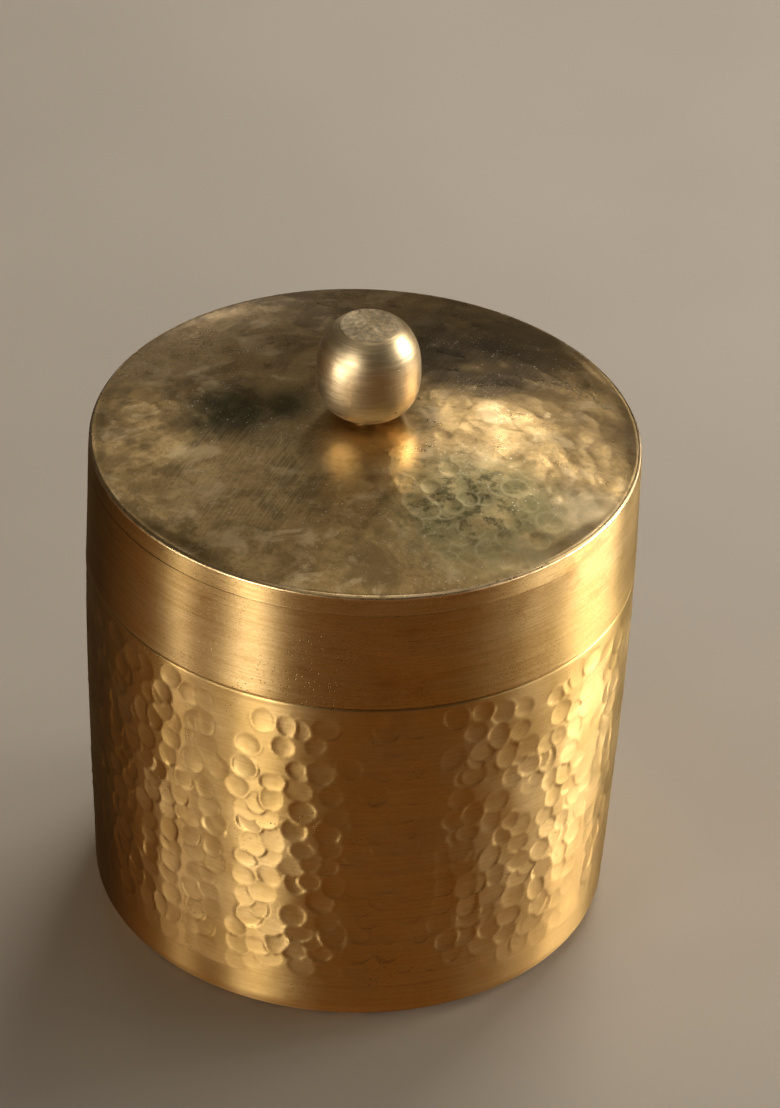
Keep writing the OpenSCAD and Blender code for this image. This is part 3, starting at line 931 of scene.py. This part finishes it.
def planished_brass():
    """The dome: mottled, with stains, tarnish, scratches and dust where the photograph has them, and with
    painted light: the knob's reflection, a highlight at the front right and dark reflections and shade.
    """
    k = Look("planished_brass_look")
    broad = k.noise(26, 3, 0.5)
    cloud = k.noise(150, 5, 0.62)
    grain = k.noise(1100, 4, 0.7)
    k.colour = k.mix(k.step(broad, 0.35, 0.65), rgb(0.58, 0.375, 0.145), rgb(0.78, 0.52, 0.215))
    k.lay(rgb(0.37, 0.235, 0.08), k.step(cloud, 0.42, 0.68, 0.0, 0.6))
    k.lay(rgb(0.34, 0.21, 0.07), k.step(grain, 0.45, 0.68, 0.0, 0.55))
    smudge = k.noise(85, 5, 0.62, twist=0.8)
    k.lay(rgb(0.27, 0.17, 0.062), k.step(smudge, 0.48, 0.61, 0.0, 0.70))
    rubbed = k.noise(120, 5, 0.65, k.stretch(1, 1.25, 1), 0.5)
    k.lay(rgb(0.90, 0.66, 0.34), k.step(rubbed, 0.51, 0.66, 0.0, 0.65))
    # Painted reflection of the knob on the dome just in front of it.
    painted_knob_reflection = k.times(k.spot(1, -12, 101, 4, 9), k.step(k.noise(240, 3), 0.35, 0.6, 0.4, 1.0))
    k.over(rgb(0.95, 0.76, 0.42), painted_knob_reflection, 0.7)
    # Painted highlight near the rim at the front right.
    painted_rim_highlight = k.times(k.spot(40, -24, 97, 3, 9), k.step(k.noise(200, 3), 0.35, 0.6, 0.5, 1.0))
    k.over(rgb(0.97, 0.76, 0.43), painted_rim_highlight, 0.6)
    rims = k.mark("rims")
    left = k.math("MAXIMUM", k.spot(-24, 0, 100, 3, 10), k.spot(-15, 2, 101, 1, 8))
    dark_tarnish = k.times(left, k.step(cloud, 0.30, 0.50, 0.7, 1.0))
    front = k.spot(21, -27, 99, 9, 12)
    tarnish = k.times(front, k.step(cloud, 0.32, 0.56, 0.45, 1.0))
    k.over(rgb(0.34, 0.30, 0.13), tarnish, 0.75)
    k.over(rgb(0.045, 0.043, 0.014), dark_tarnish, 0.9)
    grime_and_painted_shade = k.times(k.step(k.noise(420, 4, 0.65), 0.46, 0.62), k.spot(17, -24, 99, 6, 12))
    k.over(rgb(0.11, 0.09, 0.035), grime_and_painted_shade, 0.85)
    crest = k.times(rims, k.times(front, k.step(cloud, 0.34, 0.6, 0.05, 0.55)))
    k.lay(rgb(0.72, 0.58, 0.31), crest)
    # Painted dark reflection at the back right of the dome.
    stain_and_dark_reflection = k.times(k.spot(22, 26, 98, 11, 12), k.step(k.noise(90, 4, 0.65), 0.34, 0.48, 0.4, 1.0))
    k.over(rgb(0.15, 0.095, 0.04), stain_and_dark_reflection, 0.85)
    # Painted dark reflection behind the knob, on its right.
    dark = k.times(k.spot(19, 20, 100, 7, 11), k.step(k.noise(130, 3), 0.30, 0.5, 0.5, 1.0))
    k.over(rgb(0.06, 0.038, 0.016), dark, 0.85)
    shade = k.times(k.spot(46, 2, 97, 3, 9), k.step(k.noise(110, 3), 0.35, 0.6, 0.5, 1.0))
    k.over(rgb(0.26, 0.16, 0.07), shade, 0.55)
    dots = k.times(k.step(k.cells(250), 0.40, 0.14), k.spot(-35, -1, 98, 8, 12))
    k.over(rgb(0.17, 0.12, 0.05), dots, 0.6)
    edge = k.put("VectorMath", {"operation": "LENGTH"}, {0: k.stretch(1, 1, 0)})["Value"]
    # Painted shade in a thin ring just inside the rim.
    margin = k.times(k.step(edge, 0.0465, 0.0488), k.step(k.noise(90, 3), 0.35, 0.6, 0.2, 0.8))
    k.over(BROWN, margin, 0.15)
    turned = k.put("VectorRotate", {"rotation_type": "Z_AXIS"},
                   {"Vector": k.place, "Angle": math.radians(SCRATCHES_RUN)})[0]
    scratch = k.noise(1, 3, 0.75, k.stretch(80, 3400, 80, turned))
    strong = k.spot(-21, -19, 98, 8, 13)
    streaks = k.times(k.step(scratch, 0.46, 0.62), k.step(strong, 0.0, 1.0, 0.06, 0.42))
    k.lay(rgb(0.86, 0.66, 0.34), streaks)
    dust = k.math("MAXIMUM", k.specks(800, 0.15, k.step(k.noise(60, 2), 0.44, 0.60)),
                  k.specks(1900, 0.20, k.step(k.noise(130, 3), 0.46, 0.62, 0.0, 0.8)))
    k.over(rgb(0.92, 0.84, 0.66), dust, 0.85)
    rings = k.noise(1, 3, 0.6, k.put("CombineXYZ", None, {0: k.times(edge, 4200)})[0])
    k.bump(k.times(scratch, k.step(strong, 0.0, 1.0, 0.20, 0.7)), 0.03, 0.6)
    k.bump(rings, 0.006, 0.30)
    k.bump(grain, 0.012, 0.7)
    roughness = k.plus(k.step(cloud, 0.35, 0.68, 0.27, 0.36), k.times(tarnish, 0.08))
    roughness = k.plus(roughness, k.times(strong, 0.05))
    return k.finish(roughness)


def knob_brass():
    """The paler knob, with lathe lines round the ball and a scuffed flat."""
    k = Look("knob_brass_look")
    lines = k.noise(1, 4, 0.7, k.stretch(260, 260, 5200))
    coarse = k.noise(1, 2, 0.5, k.stretch(120, 120, 1500))
    k.colour = k.mix(k.step(k.noise(120, 4), 0.36, 0.66), rgb(0.84, 0.625, 0.335), rgb(0.94, 0.74, 0.43))
    k.lay(rgb(0.50, 0.35, 0.18), k.step(lines, 0.42, 0.66, 0.0, 0.45))
    flat = k.step(k.xyz()[2], (FLAT_Z - 0.15) * MM, FLAT_Z * MM)
    pits = k.specks(1150, 0.24, k.step(k.noise(260, 2), 0.62, 0.70))
    k.lay(rgb(0.36, 0.285, 0.18), k.times(flat, k.step(k.noise(1100, 5, 0.7), 0.36, 0.62, 0.15, 0.8)))
    swirl = k.noise(1, 4, 0.75, k.stretch(500, 1500, 1), 1.4)
    k.lay(rgb(0.86, 0.74, 0.54), k.times(k.step(swirl, 0.50, 0.66), k.times(flat, 0.55)))
    k.lay(BROWN, pits)
    k.bump(lines, 0.016, 0.6)
    k.bump(coarse, 0.010, 0.4)
    k.bump(k.times(swirl, flat), 0.05, 0.8)
    k.bump(k.math("SUBTRACT", 1.0, pits), 0.06, 0.7)
    roughness = k.plus(k.step(coarse, 0.35, 0.65, 0.42, 0.48), k.times(flat, 0.12))
    return k.finish(roughness, 0.35)


def cup_brass(name="cup_brass_look", sheen=0.5):
    """The cleaner brass of the pieces inside. Sheen draws its highlights out, as on a turned cup."""
    k = Look(name)
    broad = k.noise(40, 3)
    lines = k.noise(1, 3, 0.65, k.stretch(120, 120, 3800))
    k.colour = k.mix(k.step(broad, 0.35, 0.65), rgb(0.74, 0.53, 0.22), rgb(0.86, 0.66, 0.32))
    stain_and_dark_reflection = k.step(k.noise(85, 4, 0.65), 0.58, 0.76)
    k.over(WARM, stain_and_dark_reflection, 0.45)
    k.bump(lines, 0.012, 0.5)
    k.bump(k.noise(480, 3), 0.02, 0.4)
    return k.finish(k.step(k.noise(90, 3), 0.3, 0.7, 0.2, 0.3), sheen)


def braze_look():
    k = Look("braze_look")
    cloud = k.noise(420, 4, 0.65)
    k.colour = k.mix(k.step(cloud, 0.38, 0.62), rgb(0.34, 0.27, 0.16), rgb(0.62, 0.52, 0.34))
    k.bump(k.noise(900, 4, 0.7), 0.06, 0.7)
    return k.finish(k.step(cloud, 0.35, 0.65, 0.38, 0.55))


def steel_look():
    k = Look("screw_steel_look")
    rings = k.noise(1, 3, 0.6, k.stretch(900, 900, 900))
    k.colour = k.mix(k.step(k.noise(500, 4), 0.35, 0.7), rgb(0.36, 0.35, 0.33), rgb(0.62, 0.61, 0.59))
    rust = k.step(k.noise(700, 4, 0.7), 0.62, 0.74)
    k.over(rgb(0.25, 0.13, 0.06), rust, 0.5)
    k.bump(rings, 0.02, 0.5)
    return k.finish(k.step(k.noise(350, 3), 0.3, 0.7, 0.26, 0.42))


def dress(look, *pieces):
    """Gives each piece this material alone."""
    for piece in pieces:
        piece.data.materials.clear()
        piece.data.materials.append(look)


dress(hammered_brass(), drum)
dress(satin_brass(), base)
lid_side = turned_brass()
dress(lid_side, band)
dress(turned_brass("collar_brass_look", 0.6), collar)
dress(planished_brass(), cap)
cap.data.materials.append(lid_side)
cap.data.materials.append(edge_brass())
DOME, SIDE, ROUNDED_EDGE = 0, 1, 2
for face in cap.data.polygons:
    away, z = face.center.xy.length / MM, face.center.z / MM
    rounded = z > RIM_Z - RIM_ROUND and away > RIM_R - 0.1
    face.material_index = DOME if z >= RIM_Z - 0.02 else ROUNDED_EDGE if rounded else SIDE
dress(knob_brass(), knob)
dress(cup_brass(), *cups)
dress(cup_brass("spoon_brass_look", 0.0), bowl, handle)
dress(braze_look(), *brazes)
dress(steel_look(), screw, washer)


# ---- floor, lights and camera

FLOOR_R, FLOOR_T = 4000.0, 5
floor = lathe("floor", [(0, -FLOOR_T), (FLOOR_R, -FLOOR_T), (FLOOR_R, 0), (0, 0)], 96)
paper = Look("floor_look")
cloudy = paper.step(paper.noise(6, 3), 0.3, 0.7)
floor_tone = paper.mix(cloudy, rgb(0.44, 0.38, 0.305), rgb(0.49, 0.425, 0.34))
paper.shade({"Base Color": floor_tone, "Roughness": 0.75, "Specular IOR Level": 0.2})
dress(paper.mat, floor)
floor.visible_glossy = False

world = bpy.data.worlds.new("studio")
bpy.context.scene.world = world
world.use_nodes = True


DARK_ROOM = rgb(0.052, 0.045, 0.036)
BROWN_BENCH = rgb(0.205, 0.095, 0.032)
FAR_BENCH = rgb(0.035, 0.020, 0.012)


def surroundings():
    """What the metal mirrors: a dark room above the horizon and a brown bench below it."""
    nodes, links = world.node_tree.nodes, world.node_tree.links
    towards = nodes.new("ShaderNodeSeparateXYZ")
    links.new(nodes.new("ShaderNodeTexCoord").outputs["Generated"], towards.inputs[0])

    def blend(axis, start, end, first):
        """A mix that is the first colour up to start along an axis, and its second one from end on."""
        ramp = nodes.new("ShaderNodeMapRange")
        ramp.interpolation_type = "SMOOTHSTEP"
        ramp.inputs["From Min"].default_value = start
        ramp.inputs["From Max"].default_value = end
        links.new(towards.outputs[axis], ramp.inputs["Value"])
        mixed = nodes.new("ShaderNodeMix")
        mixed.data_type = "RGBA"
        links.new(ramp.outputs[0], mixed.inputs[0])
        mixed.inputs[COLOUR_A].default_value = first
        return mixed

    room = blend("Z", 0.0, -0.30, DARK_ROOM)
    bench = blend("Y", 0.05, 0.60, BROWN_BENCH)
    bench.inputs[COLOUR_B].default_value = FAR_BENCH
    links.new(bench.outputs[COLOUR_OUT], room.inputs[COLOUR_B])
    links.new(room.outputs[COLOUR_OUT], nodes["Background"].inputs["Color"])


surroundings()

# The lamps face the middle of the box.
AIM = Vector((0, 0, 60 * MM))
LAMP_COLOUR = (1.0, 0.97, 0.94)


def softbox(name, azimuth, elevation, distance, width, height, watts):
    """A soft lamp that faces the box, with its distance and size in metres.

    Azimuth is from the viewer's side, positive to the right. Both angles are in degrees.
    """
    a, e = math.radians(azimuth), math.radians(elevation)
    away = Vector((math.sin(a) * math.cos(e), -math.cos(a) * math.cos(e), math.sin(e)))
    lamp = bpy.data.lights.new(name, "AREA")
    lamp.shape, lamp.size, lamp.size_y = "RECTANGLE", width, height
    lamp.energy, lamp.color = watts, LAMP_COLOUR
    ob = bpy.data.objects.new(name, lamp)
    ob.location = AIM + away * distance
    ob.rotation_euler = (-away).to_track_quat("-Z", "Y").to_euler()
    ob.visible_camera = False
    bpy.context.scene.collection.objects.link(ob)
    return ob


def lit(lamp, state, *pieces):
    """Makes the lamp light only these pieces (INCLUDE), or everything but them (EXCLUDE)."""
    group = bpy.data.collections.new(lamp.name + "_pieces")
    for piece in pieces:
        group.objects.link(piece)
    for entry in group.collection_objects:
        entry.light_linking.link_state = state
    lamp.light_linking.receiver_collection = group


for window in (softbox("left_window", -68, 0, 0.70, 0.06, 0.11, 0.62),
               softbox("right_front_window", 54, 0, 0.65, 0.14, 0.11, 0.08),
               softbox("right_side_window", 73, 0, 0.65, 0.22, 0.11, 0.52),
               softbox("right_window", 98, 0, 0.65, 0.30, 0.11, 3.5),
               softbox("right_far_window", 132, 0, 0.65, 0.30, 0.11, 0.45)):
    lit(window, "EXCLUDE", knob)
lit(softbox("left_front_window_low", -35, 0, 0.70, 0.18, 0.11, 1.9), "INCLUDE", drum, base)
lit(softbox("left_mid_window", -52, 0, 0.70, 0.07, 0.11, 0.28), "INCLUDE", drum)
lit(softbox("left_front_window", -40, 0, 0.70, 0.15, 0.11, 1.65), "EXCLUDE", knob, drum, base)
softbox("right_glow", 114, 24, 0.75, 0.22, 0.18, 1.1)
softbox("right_back_glow", 169, 35, 0.90, 0.10, 0.05, 0.25)
softbox("right_lid_glow", 160, 45, 0.85, 0.08, 0.12, 0.18)
softbox("left_lid_glow", -159, 38, 0.85, 0.12, 0.30, 0.10)
softbox("left_back_glow", -168, 8, 1.00, 0.24, 0.08, 0.14)
softbox("ceiling", 180, 66, 0.85, 0.30, 0.16, 0.09)
softbox("zenith", 180, 86, 0.90, 0.22, 0.22, 0.40)
lit(softbox("knob_right", 103, 23, 0.70, 0.22, 0.24, 3.6), "INCLUDE", knob)
lit(softbox("knob_left", -62, -4, 0.70, 0.30, 0.20, 1.75), "INCLUDE", knob)
lit(softbox("knob_left_high", -40, 19, 0.70, 0.30, 0.14, 1.55), "INCLUDE", knob)
lit(softbox("front_high", 10, 62, 0.90, 0.90, 0.70, 0.75), "INCLUDE", cap)
lit(softbox("right_high", 104, 44, 0.90, 0.30, 0.45, 0.9), "INCLUDE", cap)
lit(softbox("over_the_floor", 158, 50, 0.9, 0.4, 0.4, 3.8), "INCLUDE", floor)

# The photograph's camera, with its angles in radians and its distance in metres.
CAMERA_DISTANCE = 1.501
CAMERA_ELEVATION = 0.5928
CAMERA_YAW, CAMERA_PITCH, CAMERA_ROLL = -0.0035, -0.0138, -0.0412
# The lens's focal length over the sensor's height.
LENS_PER_SENSOR = 7.512184
SENSOR_H = 36
NEAREST, FARTHEST = 0.05, 30


def photograph_camera():
    """Looks at the middle of the lid's rim, then turned a little aside, down and round."""
    target = Vector((0, 0, RIM_Z * MM))
    back = Vector((0, -math.cos(CAMERA_ELEVATION), math.sin(CAMERA_ELEVATION)))
    forward, right = -back, Vector((1, 0, 0))
    up = right.cross(forward)
    turn = Matrix.Rotation(CAMERA_YAW, 3, up)
    forward, right = turn @ forward, turn @ right
    forward = Matrix.Rotation(CAMERA_PITCH, 3, right) @ forward
    right = Matrix.Rotation(CAMERA_ROLL, 3, forward) @ right
    up = right.cross(forward)
    data = bpy.data.cameras.new("camera")
    data.sensor_fit = "VERTICAL"
    data.sensor_height = SENSOR_H
    data.lens = LENS_PER_SENSOR * SENSOR_H
    data.clip_start, data.clip_end = NEAREST, FARTHEST
    ob = bpy.data.objects.new("camera", data)
    axes = Matrix((right, up, -forward)).transposed().to_4x4()
    ob.matrix_world = Matrix.Translation(target + back * CAMERA_DISTANCE) @ axes
    bpy.context.scene.collection.objects.link(ob)
    bpy.context.scene.camera = ob


photograph_camera()
bpy.context.scene.view_settings.view_transform = "Standard"
